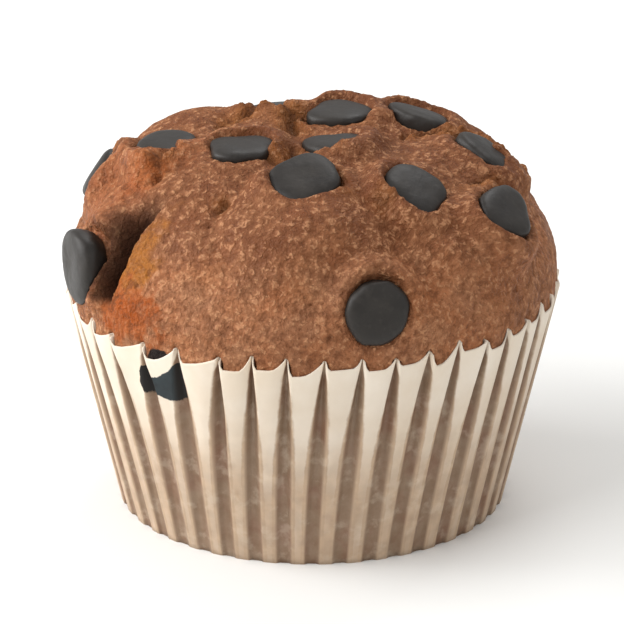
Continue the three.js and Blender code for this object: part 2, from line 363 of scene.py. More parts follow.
def crisp_mask(tree, name, softness, ragged):
    """A mask from a stored depth in millimetres inside a stain, with an edge that a fine noise moves."""
    edge_noise = drift(tree, Size=0.0016, Softness=0.3, Offset=0.011)
    wander = calculate(tree, "MULTIPLY", calculate(tree, "SUBTRACT", edge_noise, 0.5), ragged)
    return soft_range(tree, calculate(tree, "ADD", read_mask(tree, name), wander), -softness, softness)


def finish_surface(tree, shader, colour, rough, specular, **grain_values):
    """Gives the shader its colour, roughness, one specular level and the dents of the fine grain."""
    plug(tree, shader.inputs["Base Color"], colour)
    plug(tree, shader.inputs["Roughness"], rough)
    shader.inputs["Specular IOR Level"].default_value = specular
    dented = place_effect(tree, grain_group, **grain_values)
    plug(tree, shader.inputs["Normal"], dented.outputs["Normal"])


# %% [markdown]
# ## Crust
# Baked crust is a mid brown and granular. Its tiny crumbs are painted paler on their tops, a painted
# highlight, and darker in the pits between them, painted shade. The brown drifts between a warm and a dull
# one. It is darker towards the top of the crown, golden where young crumb tore open late, and smoother and
# ruddier at the left shoulder. Cracks and splits are painted nearly black inside, as painted shade. A
# picture wrapped over the dome would stretch at its sides, so the colours come from noise in the piece's own
# space and from the mesh's masks. The crumbs that are finer than the mesh are cells here, and one height
# makes both their dents and their painted highlight and shade, so that the two agree.

# %% Crust colours and the height of its fine crumbs
CRUST = painted(158, 99, 63)
CRUST_DULL = painted(148, 101, 72)
# a random darker drift, and also painted shade in pits, hollows and along the chips' edges
CRUST_DARK_AND_SHADE = painted(102, 59, 34)
# random paler patches, and also a painted highlight on the tops of crumbs and grains
CRUST_PALE_AND_HIGHLIGHT = painted(197, 143, 104)
# the crust's colour towards the top of the crown
CRUST_CROWN = painted(114, 66, 38)
CRUST_GOLDEN = painted(150, 88, 8)
CRUST_RUDDY = painted(150, 69, 12)
# near black: painted shade inside the shoulder crack and in the split of the torn creases
CRUST_CRACK_SHADE = painted(38, 18, 8)
CRUST_SMEAR = painted(30, 19, 15)
CRUMB_SIZE = 0.0013
CRUMB_CURL = 0.0011  # the crumbs are bent out of round over this distance, and by as much at most
CRUMB_TOPS = 0.9  # height in the middle of a crumb

crust, tree, shader = new_material("baked_crust")
coordinates = add_node(tree, "TexCoord").outputs["Object"]
swirl = add_node(tree, "TexNoise", Vector=coordinates, Scale=1 / CRUMB_CURL, Detail=2.0).outputs["Color"]
bend = calculate(tree, "MULTIPLY", swirl, (CRUMB_CURL,) * 3, "VectorMath")
bent = calculate(tree, "ADD", coordinates, bend, "VectorMath")
large = add_node(tree, "TexVoronoi", {"feature": "SMOOTH_F1"}, Vector=bent, Scale=1 / CRUMB_SIZE)
small = add_node(tree, "TexVoronoi", Vector=bent, Scale=2.3 / CRUMB_SIZE)
dusty = add_node(tree, "TexNoise", Vector=coordinates, Scale=3.1 / CRUMB_SIZE, Detail=2.0, Roughness=0.6)
crumbs = 0.0
for part, weight in (
    (large.outputs["Distance"], -0.9),
    (small.outputs["Distance"], -0.4),
    (dusty.outputs["Fac"], 0.45),
):
    crumbs = calculate(tree, "ADD", crumbs, calculate(tree, "MULTIPLY", part, weight))
crumbs = calculate(tree, "ADD", crumbs, CRUMB_TOPS)
print("crumbs:", round(CRUMB_SIZE / MM, 1), "mm across")

# %% Crust material
broad = drift(tree, Size=0.016, Softness=0.2, Offset=0.031)
patches = drift(tree, Size=0.005, Softness=0.16, Offset=0.007)
hue = drift(tree, Size=0.008, Softness=0.2, Offset=0.043)
golden = read_mask(tree, "golden")
ruddy = read_mask(tree, "ruddy")
# mask of the painted shade inside the crack and the splits
torn = read_mask(tree, "torn")
# how much painted highlight the crumbs' tops get, less where the crust is golden or ruddy
calmed = calculate(tree, "MULTIPLY", calculate(tree, "MAXIMUM", golden, ruddy), 0.48)
crumb_highlight = calculate(tree, "SUBTRACT", 0.6, calmed)
colour = CRUST
for mask, other, strength in (
    (hue, CRUST_DULL, 1),
    (read_mask(tree, "baked"), CRUST_CROWN, 1),
    (broad, CRUST_DARK_AND_SHADE, 0.34),
    (golden, CRUST_GOLDEN, 1),
    (ruddy, CRUST_RUDDY, 1),
    (patches, CRUST_PALE_AND_HIGHLIGHT, 0.15),
    # painted shade in burst pits, in the hollows between grains and along the chips' edges
    (read_mask(tree, "pits"), CRUST_DARK_AND_SHADE, 1),
    # painted shade low between the fine crumbs
    (soft_range(tree, crumbs, 0.52, 0.24), CRUST_DARK_AND_SHADE, 0.6),
    # painted highlight on the fine crumbs' tops
    (soft_range(tree, crumbs, 0.58, 0.86), CRUST_PALE_AND_HIGHLIGHT, crumb_highlight),
    # painted highlight on the tops of the mesh's grain
    (read_mask(tree, "grains"), CRUST_PALE_AND_HIGHLIGHT, 1),
    # painted shade inside the crack and the splits
    (torn, CRUST_CRACK_SHADE, 1),
    (crisp_mask(tree, "smear", 0.2, 0.8), CRUST_SMEAR, 1),
):
    colour = tint(tree, colour, mask, other, strength)
rough = calculate(tree, "ADD", 0.5, calculate(tree, "MULTIPLY", patches, 0.22))
# the painted shade in the crack is also made rougher, so that it shines less
rough = calculate(tree, "MAXIMUM", rough, torn)
dents = add_node(tree, "Bump", Strength=1.0, Distance=0.0005, Height=crumbs)
finish_surface(tree, shader, colour, rough, 0.12, Size=0.0005, Depth=0.00012, Normal=dents.outputs["Normal"])
shader.inputs["Subsurface Weight"].default_value = 0.06
shader.inputs["Subsurface Radius"].default_value = (1.0, 0.5, 0.25)
shader.inputs["Subsurface Scale"].default_value = 0.0008
print("material:", crust.name)

# %% [markdown]
# ## Chocolate
# The chips have melted a little in the oven and set again without temper. That leaves a dark, nearly black
# brown with a soft satin shine and a faint grey bloom on the faces. The bloom also dulls the shine, so one
# mask drives both.

# %% Chocolate material
CHOCOLATE = painted(31, 27, 24)
CHOCOLATE_BLOOM = painted(60, 55, 50)

chocolate, tree, shader = new_material("baked_chocolate")
bloom = drift(tree, Size=0.005, Softness=0.25, Offset=0.013)
dust = drift(tree, Size=0.0012, Middle=0.6, Softness=0.08, Offset=0.009)
colour = tint(tree, CHOCOLATE, bloom, CHOCOLATE_BLOOM, 0.4)
colour = tint(tree, colour, dust, CHOCOLATE_BLOOM, 0.25)
rough = calculate(tree, "ADD", 0.4, calculate(tree, "MULTIPLY", bloom, 0.18))
finish_surface(tree, shader, colour, rough, 0.35, Size=0.0011, Depth=0.00006)
print("material:", chocolate.name)

# %% [markdown]
# ## Baking paper
# The paper starts out off-white. Where it lies against the cake, in the folds and low on the wall, fat has
# soaked in and the cake shows through it as a dull brown, while the outer panels stand clear of the cake
# near the rim and stay pale. Paper that lets light through would show that by itself, but it is slow to
# render. So the mesh stores how soaked each point is, and the paper is painted with it.

# %% Paper material
PAPER_DRY = painted(234, 223, 208)
PAPER_CREAM = painted(222, 206, 185)
PAPER_SOAKED = painted(190, 163, 136)
PAPER_SOAKED_DEEP = painted(131, 106, 84)
PAPER_SOAKED_RED = painted(122, 82, 62)
PAPER_PRINT = painted(46, 54, 57)
# near black: the low chip's stain, and painted shade in the fold beside its print
PAPER_BLACK_STAIN_AND_SHADE = painted(24, 20, 18)

paper, tree, shader = new_material("baking_paper")
fold = read_mask(tree, "fold")
broad = drift(tree, Size=0.012, Softness=0.25, Offset=0.021)
small = drift(tree, Size=0.0025, Softness=0.2, Offset=0.005)
spots = drift(tree, Size=0.003, Middle=0.6, Softness=0.09, Offset=0.017)
reddish = drift(tree, Size=0.006, Middle=0.55, Softness=0.14, Offset=0.037)
in_folds = calculate(tree, "MULTIPLY", small, calculate(tree, "SUBTRACT", 1.0, fold))
in_folds = calculate(tree, "ADD", fold, calculate(tree, "MULTIPLY", in_folds, 0.4))
wet = calculate(tree, "MAXIMUM", crisp_mask(tree, "soaked", 0.22, 0.16), read_mask(tree, "low_wall"))
blotches = calculate(tree, "MAXIMUM", fold, calculate(tree, "MULTIPLY", small, 0.35))

dry = tint(tree, PAPER_DRY, broad, PAPER_CREAM)
deep = tint(tree, PAPER_SOAKED_DEEP, reddish, PAPER_SOAKED_RED, 0.6)
soaked = tint(tree, PAPER_SOAKED, in_folds, deep)
soaked = tint(tree, soaked, spots, PAPER_CREAM, 0.22)
# inside the print, the folds and some blotches go near black: stain, and painted shade in the folds
printed = tint(tree, PAPER_PRINT, blotches, PAPER_BLACK_STAIN_AND_SHADE)
colour = tint(tree, dry, wet, soaked)
colour = tint(tree, colour, small, PAPER_CREAM, 0.1)
colour = tint(tree, colour, crisp_mask(tree, "print", 0.12, 0.5), printed)
# the fold beside the print: the chip's stain and painted shade
colour = tint(tree, colour, crisp_mask(tree, "black", 0.12, 0.6), PAPER_BLACK_STAIN_AND_SHADE)
rough = calculate(tree, "SUBTRACT", 0.8, calculate(tree, "MULTIPLY", wet, 0.25))
finish_surface(tree, shader, colour, rough, 0.3, Size=0.0009, Depth=0.00003)
print("material:", paper.name)

# %% [markdown]
# ## The paper case
# A real case is a disc of thin paper pressed in a fluted die. Its wall runs out and in 44 times, with flat
# outer panels and narrow inner folds, and no two pleats come out alike. Subdividing a rough cage would give
# soft pleats. Here each point's radius comes from a formula instead, because the folds must be crisp, the
# panels must spread towards the rim until they nearly close the folds, and the formula can be asked again
# for how far the cake may reach behind the paper.

# %% Where the folds lie
SEEN_FOLDS = [-58.5, -50.4, -39.5, -29.6, -18.6, -10.8, -2.8, 5.8, 14.5]  # degrees round the rim
SEEN_TIPS = [1.2, 0.1, 0.8, 1.7, 1.5, 2.5, 2.4, 2.0, 2.1]  # how far each of these stands over the rim, in mm
SEEN_DROOPS = [-1.4, -1.6, -1.5, -0.8, -0.4, 0.3, -0.6, 0.5, 0]  # how far the panel right of it hangs, in mm
SEEN_WIDTHS = [1.0, 0.85, 0.78, 0.92, 1.02, 0.98, 0.96, 1.0, 0.97]  # of that panel, where 1 is the rule's
SEEN_SLOPES = [-0.3, -0.4, -0.2, -0.45, 0.1, 0.05, -0.1, 0.25, 0.1]  # where that panel's edge begins to rise
FOLD_WANDER = 0.8  # degrees
PLEAT = np.arange(PLEATS)


def per_pleat(channel, low, high, seen=()):
    """One value for each pleat, or for each fold: the seen ones as given, the others scattered."""
    values = np.array([mix(low, high, scatter(k, channel)) for k in range(PLEATS)])
    values[:len(seen)] = seen
    return values


others = PLEATS - len(SEEN_FOLDS)
gap = (360 + SEEN_FOLDS[0] - SEEN_FOLDS[-1]) / (others + 1)
rim_folds = np.array(SEEN_FOLDS + [SEEN_FOLDS[-1] + gap * (k + 1) for k in range(others)])
rim_folds[len(SEEN_FOLDS):] += per_pleat(6, -FOLD_WANDER, FOLD_WANDER)[len(SEEN_FOLDS):]
rim_folds = np.radians(rim_folds)
base_folds = PLEAT / PLEATS * FULL_TURN
base_folds = base_folds + (rim_folds - base_folds).mean() + np.radians(per_pleat(16, -0.6, 0.6))
print("pleats are", np.degrees(np.diff(rim_folds)).min().round(1), "to",
      np.degrees(np.diff(rim_folds)).max().round(1), "degrees wide")

# %% [markdown]
# Each pleat is walked in steps from fold to fold. Steps within 1 of its middle lie on the flat panel, steps
# from 1 to 2 go down its side into the fold, and those up to 3 cross the fold's floor. As the steps are tied
# to these zones, the mesh has an edge along every crease of the paper, however the pleat's widths change.

# %% The pleats' rule
PLEAT_DEPTH_BASE = 0.4 * MM
PLEAT_DEPTH_RIM = 2.4 * MM
RIM_CLOSING = 0.5  # share of the folds' depth that the swelling cake takes back at the rim
PANEL_BASE = 0.42  # width of the panel, as a share of the pleat
PANEL_RIM = 0.94
WIDEST_PANEL = 0.965
EVEN_SPREAD = 0.15  # share of the panels' widening that comes evenly, while the rest comes near the rim
PANEL_HOLLOW = 0.3 * MM  # how far back a panel lies near the rim, before it bows and leans
FLOOR_BASE = 0.28  # width of the fold's floor, as a share of the pleat
FLOOR_RIM = 0.02
TIP_START = 0.36  # place across the pleat's left half where the rim starts to rise towards the fold
PAPER_THICK = 0.2 * MM
ROWS = 44
HALF_STEPS = [0, 0.3, 0.55, 0.75, 0.9, 1, 1.2, 1.45, 1.75, 2, 2.5]

PANEL_WIDTH = per_pleat(10, 0.88, 1.05, SEEN_WIDTHS)
PANEL_BOW = per_pleat(11, -0.3 * MM, 0.35 * MM)
PANEL_LEAN = per_pleat(12, -0.5 * MM, 0.5 * MM)
PANEL_DROOP = per_pleat(7, -0.9, 0.4, SEEN_DROOPS) * MM
PANEL_SLOPE = per_pleat(15, -0.3, 0.3, SEEN_SLOPES)
FOLD_DEPTH = per_pleat(13, 0.8, 1.0)
TIP_RISE = per_pleat(14, 1.2, 2.7, SEEN_TIPS) * MM

steps = np.array([-3] + [-s for s in HALF_STEPS[:0:-1]] + HALF_STEPS)
step = np.tile(steps, PLEATS)
pleat = np.repeat(PLEAT, len(steps))


def at_folds(values):
    """The nearer fold's value at every column: the pleat's own on its left, the next one's on its right."""
    return np.where(step < 0, values[pleat], values[(pleat + 1) % PLEATS])


def wall_points(share):
    """Points of the outer face, a row of them for each share of the wall's height."""
    share = share[:, None]
    spread = EVEN_SPREAD * share + (1 - EVEN_SPREAD) * share**5
    panel = mix(PANEL_BASE, PANEL_RIM, spread) * mix(PANEL_WIDTH[pleat], 1, share**8)
    panel = np.minimum(panel, WIDEST_PANEL) / 2
    side = 0.5 - mix(FLOOR_BASE, FLOOR_RIM, share**0.8) / 2
    size = np.abs(step)
    place = np.where(size <= 1, panel * size, mix(panel, side, size - 1))
    place = np.where(size <= 2, place, mix(side, 0.5, size - 2))
    inward = np.clip(size - 1, 0, 1)
    inward = mix(inward, smooth_step(0, 1, inward), 0.5)
    depth = mix(PLEAT_DEPTH_BASE, PLEAT_DEPTH_RIM * at_folds(FOLD_DEPTH), share**1.25)
    depth = depth * (1 - RIM_CLOSING * smooth_step(0.8, 1, share))
    across = np.clip(step, -1, 1)
    bent = PANEL_BOW[pleat] * (1 - across**2) + PANEL_LEAN[pleat] * across - PANEL_HOLLOW
    radius = mix(BASE_RADIUS, RIM_RADIUS, share) - depth * inward
    radius = radius + np.minimum(bent * share**2 * (1 - inward), 0)
    left = mix(base_folds, rim_folds, share**1.3)
    right = np.roll(left, -1, axis=1) + np.where(PLEAT == PLEATS - 1, FULL_TURN, 0)
    turn = mix(left[:, pleat], right[:, pleat], 0.5 + place * np.sign(step))
    from_left = np.clip((place * -np.sign(step) - TIP_START) / (0.5 - TIP_START), 0, 1)
    from_right = np.clip((place * np.sign(step) - PANEL_SLOPE[pleat]) / (0.5 - PANEL_SLOPE[pleat]), 0, 1)
    rise = mix(PANEL_DROOP[pleat], at_folds(TIP_RISE), np.maximum(from_left, from_right) ** 1.6)
    return polar(radius, turn, RIM_HEIGHT * share + rise * share**4)


shares = 1 - (1 - np.linspace(0, 1, ROWS)) ** 1.25
wall = wall_points(shares)
print("wall:", wall.shape[0], "rows of", wall.shape[1], "points")

# %% [markdown]
# Paper has a thickness, and its cut edge shows at the rim. The inner face is the outer one moved inwards,
# and the two are joined over the rim and by a floor. A Solidify modifier would do the same, but the cake has
# to know where the inner face lies, so it is worked out here.

# %% Thicken the wall and close the case
EDGE_SLANT = 0.05 * MM  # how much lower the inner face may end at the rim


def surface_normals(grid):
    """Outward direction at each point of a closed ring grid."""
    around = np.roll(grid, -1, axis=1) - np.roll(grid, 1, axis=1)
    upward = np.gradient(grid, axis=0)
    normal = np.cross(around, upward)
    return normal / np.linalg.norm(normal, axis=2, keepdims=True)


inner_wall = wall - surface_normals(wall) * PAPER_THICK
inner_wall[:, :, 2] = np.maximum(inner_wall[:, :, 2], wall[:, :, 2] - EDGE_SLANT)
inner_wall[0, :, 2] = PAPER_THICK
rings = np.concatenate([wall, inner_wall[::-1]])
case_points = np.concatenate([rings.reshape(-1, 3), [[0, 0, 0], [0, 0, PAPER_THICK]]])
case_faces = closed_tube(len(rings), wall.shape[1])
case = make_piece("pleated_paper_case", case_points, case_faces, paper, ["paper_case"])
print("case:", len(case_points), "points")

# %% [markdown]
# ## The dome's rule
# The plain dome is a squared-off ellipse turned round the axis. Round mounds over it, blended by a soft
# maximum, give the lumps and the creases where they meet, and each chip lies in a shallow dish. These rules
# are the solid dome's own, so the fine dome fits round the solid chips.

# %% Plain dome, lumps and dishes
LUMPS = 11
LUMP_SPREAD = 35 * MM
LUMP_REACH = 34 * MM
LUMP_STEP = 0.5  # how far a lump may stand above or below the others, in millimetres
LUMP_WANDER = 0.25  # how far it may turn out of its place, in radians
FIRST_LUMP_TURN = 2.1
DEEPEST_CREASE = 3 * MM
CREASE_SOFTNESS = 0.22 * MM
RELIEF_FADE = 11 * MM
DISH_DEPTH = 0.9 * MM
DISH_REACH = 0.85


def dome_outline(rise):
    """Radius and height of the plain dome, where rise goes from 0 at its widest place to 1 at the top."""
    angle = rise * math.pi / 2
    power = 2 / DOME_FULLNESS
    return DOME_RADIUS * np.cos(angle) ** power, DOME_WIDEST + DOME_HEIGHT * np.sin(angle) ** power


def height_at(radius):
    across = (radius / DOME_RADIUS) ** DOME_FULLNESS
    return DOME_WIDEST + DOME_HEIGHT * (1 - across) ** (1 / DOME_FULLNESS)


def dome_normals(points):
    """Outward direction of the plain dome at points on it."""
    radius = np.linalg.norm(points[:, :2], axis=1)
    up = np.clip(points[:, 2] - DOME_WIDEST, 0, None) / DOME_HEIGHT
    out = (radius / DOME_RADIUS) ** (DOME_FULLNESS - 1) / DOME_RADIUS
    lift = up ** (DOME_FULLNESS - 1) / DOME_HEIGHT
    flat = points[:, :2] / np.maximum(radius, 1e-9)[:, None]
    normal = np.column_stack([flat * out[:, None], lift])
    return normal / np.linalg.norm(normal, axis=1, keepdims=True)


lumps = []
for k in range(LUMPS):
    radius = LUMP_SPREAD * math.sqrt((k + 0.2) / LUMPS)
    azimuth = FIRST_LUMP_TURN + k * GOLDEN_ANGLE + mix(-LUMP_WANDER, LUMP_WANDER, scatter(k, 4))
    lumps.append((polar(radius, azimuth, height_at(radius)), mix(-LUMP_STEP, LUMP_STEP, scatter(k, 5)) * MM))


def lump_lift(points):
    """Lift by the lumps, and how far one lump stands over the next, which is nothing along a crease."""
    heights = np.stack([lift - np.sum((points - c) ** 2, axis=1) / (2 * LUMP_REACH) for c, lift in lumps])
    joined = CREASE_SOFTNESS * np.log(np.exp(heights / CREASE_SOFTNESS).sum(axis=0))
    order = np.sort(heights, axis=0)
    return LUMP_RELIEF + np.maximum(-DEEPEST_CREASE, joined), order[-1] - order[-2]


print("lumps:", len(lumps))

# %% [markdown]
# Each chip's place is read from its solid. A chip is flatter than it is wide, so the direction in which its
# corners spread least is its own axis. The dish that it lies in is centred where that axis meets the dome.

# %% Read the chips from their solids
CORNER_SHARE = 0.98  # how far a solid chip's corners reach, as a share of its outline
USUAL_SHARE = 0.96  # size of the finished outline, as a share of the solid's
CHIP_SHARES = {"chip_01": 0.98, "chip_02": 0.86}
CHIP_LEANS = {  # the side to which an outline reaches further, in degrees round its axis, and by what share
    "chip_01": (-135, 0.13),
    "chip_02": (-90, 0.15),
    "chip_03": (180, 0.17),
}
CHIP_COVERS = {"chip_03": (-5, 6.8)}  # from which side crust covers a chip, in degrees, and how far, in mm
BARE_CHIPS = ("chip_01", "chip_02")  # the large ones at the front, which no crust covers
LEAST_ABOVE_RIM = 3 * MM  # a chip whose face is lower lies behind the paper
chips = []
for i, name in enumerate(sorted(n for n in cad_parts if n.startswith("chip_"))):
    corners = np.array([v.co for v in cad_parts[name].data.vertices])
    middle = corners.mean(axis=0)
    axis = np.linalg.eigh(np.cov((corners - middle).T))[1][:, 0]
    if axis @ (middle - np.array([0, 0, RIM_HEIGHT])) < 0:
        axis = -axis
    along = (corners - middle) @ axis
    aside = np.linalg.norm(corners - middle - along[:, None] * axis, axis=1)
    face = middle + axis * along.max()
    radius = np.linalg.norm(face[:2])
    reach = (radius / DOME_RADIUS) ** DOME_FULLNESS
    reach = reach + (max(face[2] - DOME_WIDEST, 0) / DOME_HEIGHT) ** DOME_FULLNESS
    uphill = np.array([0, 0, 1]) - axis[2] * axis
    uphill = uphill / np.linalg.norm(uphill)
    chips.append({
        "name": name,
        "axis": axis,
        "uphill": uphill,
        "across": np.cross(axis, uphill),
        "face": face,
        "diameter": 2 * aside.max() / CORNER_SHARE,
        "seat": np.array([0, 0, DOME_WIDEST]) + (face - [0, 0, DOME_WIDEST]) * reach ** (-1 / DOME_FULLNESS),
        "on_top": face[2] > RIM_HEIGHT + LEAST_ABOVE_RIM,
        "bare": name in BARE_CHIPS,
        "number": i,
    })
print("chips:", len(chips), "from", round(min(c["diameter"] for c in chips) / MM, 1), "to",
      round(max(c["diameter"] for c in chips) / MM, 1), "mm")


def chip_edge(chip, turn):
    """Radius of a chip's outline in a direction round its axis, each chip out of round in its own way."""
    i = chip["number"]
    calm = 0.2 if chip["bare"] else 1
    whole = CHIP_SHARES.get(chip["name"], USUAL_SHARE)
    wobble = sum(
        mix(0.02, 0.11, scatter(i, 30 + n)) / n**0.5
        * np.cos((n + 1) * turn + FULL_TURN * scatter(i, 40 + n))
        for n in (1, 2, 3)
    )
    lean_to, lean = CHIP_LEANS.get(chip["name"], (0, 0))
    return chip["diameter"] / 2 * (whole + calm * wobble + lean * np.cos(turn - math.radians(lean_to)))


def seen_from_chip(chip, points):
    """Distance past the chip's outline and direction round its axis, for points near it."""
    off = points - chip["face"]
    along, aside = off @ chip["uphill"], off @ chip["across"]
    turn = np.arctan2(aside, along)
    return np.hypot(along, aside) - chip_edge(chip, turn), turn


# %% [markdown]
# ## The fine crust
# The dome's mesh is a square grid wrapped over it like a cloth: each square ring of the grid becomes a round
# ring of the dome. A plain wheel of rings and spokes would be simpler, but it crowds thousands of slivers at
# the top and leaves long faces at the rim. Wrapped like this, the faces have nearly one size all over.

# %% Wrap a square grid over the dome
HALF = 137  # faces from the grid's middle to its edge
RING_SPACING = 1.06  # 1 spaces the rings evenly, and more crowds them a little at the top
side = 2 * HALF + 1
u, v = np.meshgrid(np.linspace(-1, 1, side), np.linspace(-1, 1, side))
u, v = u.ravel(), v.ravel()
out_from_top = np.maximum(np.abs(u), np.abs(v))
steep = np.abs(v) > np.abs(u)
safe_u = np.where(steep | (u == 0), 1, u)
safe_v = np.where(steep, v, 1)
turn = np.where(steep, math.pi / 2 - math.pi / 4 * u / safe_v, math.pi / 4 * v / safe_u)
turn = turn + np.where(np.where(steep, v, u) < 0, math.pi, 0)
azimuth = turn + math.pi / 2  # the rule counts from +X, and azimuth from -Y
radius, height = dome_outline(1 - out_from_top**RING_SPACING)
plain = polar(radius, azimuth, height)

dome_faces = []
for row in range(side - 1):
    for column in range(side - 1):
        a = row * side + column
        dome_faces.append((a, a + 1, a + side + 1, a + side))
edge = list(range(side - 1))
edge += [r * side + side - 1 for r in range(side - 1)]
edge += [side * side - 1 - c for c in range(side - 1)]
edge += [(side - 1 - r) * side for r in range(side - 1)]
edge_azimuth = azimuth[edge]
print("dome:", len(plain), "points,", len(edge), "round its edge")

# %% [markdown]
# Below the dome the cake fills the case. Its wall follows the inner face of the paper, a little short of it
# in the corners of the pleats, and above the paper it swells out over the folds in a quarter round.

# %% Carry the crust down into the case
CLEAR = 0.08 * MM  # between cake and paper
SWELL_ROWS = 8
FOOT_SHARES = np.array([0.0, 0.25, 0.5, 0.68, 0.8, 0.88, 0.94, 0.975])
KEPT_BACK = 4  # columns to each side whose paper a point of the cake stays behind, half as many at the rim
SWELL_TUCKED = 0.2 * MM  # the swell starts this far below the paper's edge


def case_inside(share):
    """Radius and height of the paper's inner face at the dome's edge azimuths, for a share of its height."""
    ring = inner_wall[int(np.argmin(np.abs(shares - share)))]
    ring_azimuth = np.arctan2(ring[:, 0], -ring[:, 1])
    order = np.argsort(ring_azimuth)
    wanted = np.arctan2(np.sin(edge_azimuth), np.cos(edge_azimuth))
    inside, level = [
        np.interp(wanted, ring_azimuth[order], values[order], period=FULL_TURN)
        for values in (np.hypot(ring[:, 0], ring[:, 1]), ring[:, 2])
    ]
    kept_back = KEPT_BACK if share < 0.9 else KEPT_BACK // 2
    inside = np.min([np.roll(inside, shift) for shift in range(-kept_back, kept_back + 1)], axis=0)
    return inside - CLEAR, level


foot_rings = []
for share in FOOT_SHARES:
    inside, level = case_inside(share)
    foot_rings.append(polar(inside, edge_azimuth, np.maximum(level, PAPER_THICK + CLEAR)))
inside, level = case_inside(1)
level = level - SWELL_TUCKED
swell_turn = np.linspace(0, math.pi / 2, SWELL_ROWS, endpoint=False)[:, None]
swell = polar(
    mix(inside, DOME_RADIUS, np.sin(swell_turn)),
    edge_azimuth[None, :],
    mix(DOME_WIDEST, level, np.cos(swell_turn)),
)
print("rows in the case:", len(foot_rings), "and above it:", len(swell))

# %% [markdown]
# The relief comes in layers, from large to small: the lumps and dishes of the solid dome, soft swells a
# centimetre across, the crust's brim round each chip, cracks and torn creases, and last the grain, about a
# millimetre across, with scattered pits. Every layer moves points along the surface's outward direction.

# %% Layer: the crack at the left shoulder
# It starts in the hollow beside the large chip there. Its right side is steep and its left side slopes.
CRACK_HEIGHTS = [42, 44, 47, 50, 53, 56, 58, 60]  # millimetres
CRACK_AZIMUTHS = [-53, -52.2, -51.5, -51.8, -52.6, -53.2, -53, -52]  # degrees, of its right side
CRACK_DEPTHS = [0, 2.2, 3.8, 4.4, 3.9, 2.6, 1.2, 0]
CRACK_WIDTHS = [1.5, 2.6, 4.0, 4.8, 4.8, 3.6, 2.2, 1.0]  # of its left side
CRACK_EDGE = 0.7  # of its right side


def shoulder_crack(points):
    """Depth of the crack at points on the dome, and its mask from 0 to 1."""
    level = points[:, 2] / MM
    line = np.radians(np.interp(level, CRACK_HEIGHTS, CRACK_AZIMUTHS))
    off = (np.arctan2(points[:, 0], -points[:, 1]) - line) * np.linalg.norm(points[:, :2], axis=1) / MM
    off = off + 0.45 * cloud(points, 2.5 * MM, 4.4)
    width = np.where(off < 0, np.interp(level, CRACK_HEIGHTS, CRACK_WIDTHS), CRACK_EDGE)
    depth = np.interp(level, CRACK_HEIGHTS, CRACK_DEPTHS, left=0, right=0)
    cleft = np.exp(-(np.abs(off / width) ** 3))
    return depth * MM * cleft, cleft**0.35 * np.clip(depth / 1.8, 0, 1)


# %% [markdown]
# The batter rises round the chips, so the crust has a brim there: here it stays just below a chip's face,
# there it creeps over the edge and hides part of it. The plane of each chip's face says how far the crust
# has to lift to meet it. Under the chip the crust drops away, and so the two meet in a clean line.

# %% Layer: the crust round each chip
BRIM_REACH = 4.5 * MM  # the brim has melted into the dome this far from a chip
MOST_RISE = 1.2 * MM
MOST_CREEP = 3.6 * MM  # on the side where the crust creeps over the chip
MOST_DROP = 1.0 * MM
SEAT_DEPTH = 2.6 * MM  # of the crust below a chip's face, under the chip
SHADE_WIDTH = 0.8 * MM
BRIM_CREST = 0.8 * MM  # the brim keeps its full height this far from a chip
BRIM_LOW = (-1.8, -1.0)  # against the chip's face, where the brim is lowest: from and to, in millimetres
BRIM_HIGH = 0.7
BARE_BRIM_HIGH = -0.9
CREEP = (-1.0, 4.2)  # how far the crust creeps over a chip: from and to, where less than 0 is none


def brim_chips(points, normals, lift):
    """The lift with each chip's brim worked in, and a mask of the narrow shade along its edge."""
    shade = np.zeros(len(points))
    lift = lift.copy()
    for chip in chips:
        if not chip["on_top"]:
            continue
        near = np.linalg.norm(points - chip["seat"], axis=1) < 1.1 * chip["diameter"]
        here, normal = lift[near], normals[near]
        past, turn = seen_from_chip(chip, points[near] + normal * here[:, None])
        i = chip["number"]
        scattered = (360 * scatter(i, 21), mix(*CREEP, scatter(i, 22)))
        side_on, creep = CHIP_COVERS.get(chip["name"], scattered)
        facing = 0.5 + 0.5 * np.cos(turn - math.radians(side_on))
        creep = 0 if chip["bare"] else creep * MM
        cover = max(creep, 0) * smooth_step(0.35, 0.9, facing)
        low = mix(*BRIM_LOW, scatter(i, 23)) * MM
        high = (BARE_BRIM_HIGH if chip["bare"] else BRIM_HIGH) * MM
        ragged = 0.25 * MM * cloud(points[near], 2.5 * MM, 3.3 * i, 2)
        brim = mix(low, high, smooth_step(0.1, 0.8, facing)) + ragged
        face_lift = ((chip["face"] - points[near]) @ chip["axis"]) / np.maximum(normal @ chip["axis"], 0.3)
        outside = np.clip(face_lift + brim, here - MOST_DROP, here + mix(MOST_RISE, MOST_CREEP, facing))
        under = np.minimum(face_lift - SEAT_DEPTH, here)
        level = mix(under, outside, smooth_step(-1.2 * MM, 0.45 * MM, past + cover))
        lift[near] = mix(here, level, smooth_step(BRIM_REACH, BRIM_CREST, past))
        shade[near] = np.maximum(shade[near], np.exp(-(((past + cover) / SHADE_WIDTH) ** 2)))
    return lift, shade


# %% [markdown]
# Where two lumps of the crown meet, the late rise tears the crust open along the crease. The front of this
# muffin shows no such tear, so they start higher up there. A tear is a narrow split with craggy lips.

# %% Layer: torn creases
TEARS_ABOVE = 50 * MM
TEARS_ABOVE_IN_FRONT = 59 * MM
LIP_WIDTH = 1.5 * MM
LIP_CRAGS = 2 * MM
SPLIT_WIDTH = 0.5 * MM
SPLIT_DEPTH = 1.5 * MM


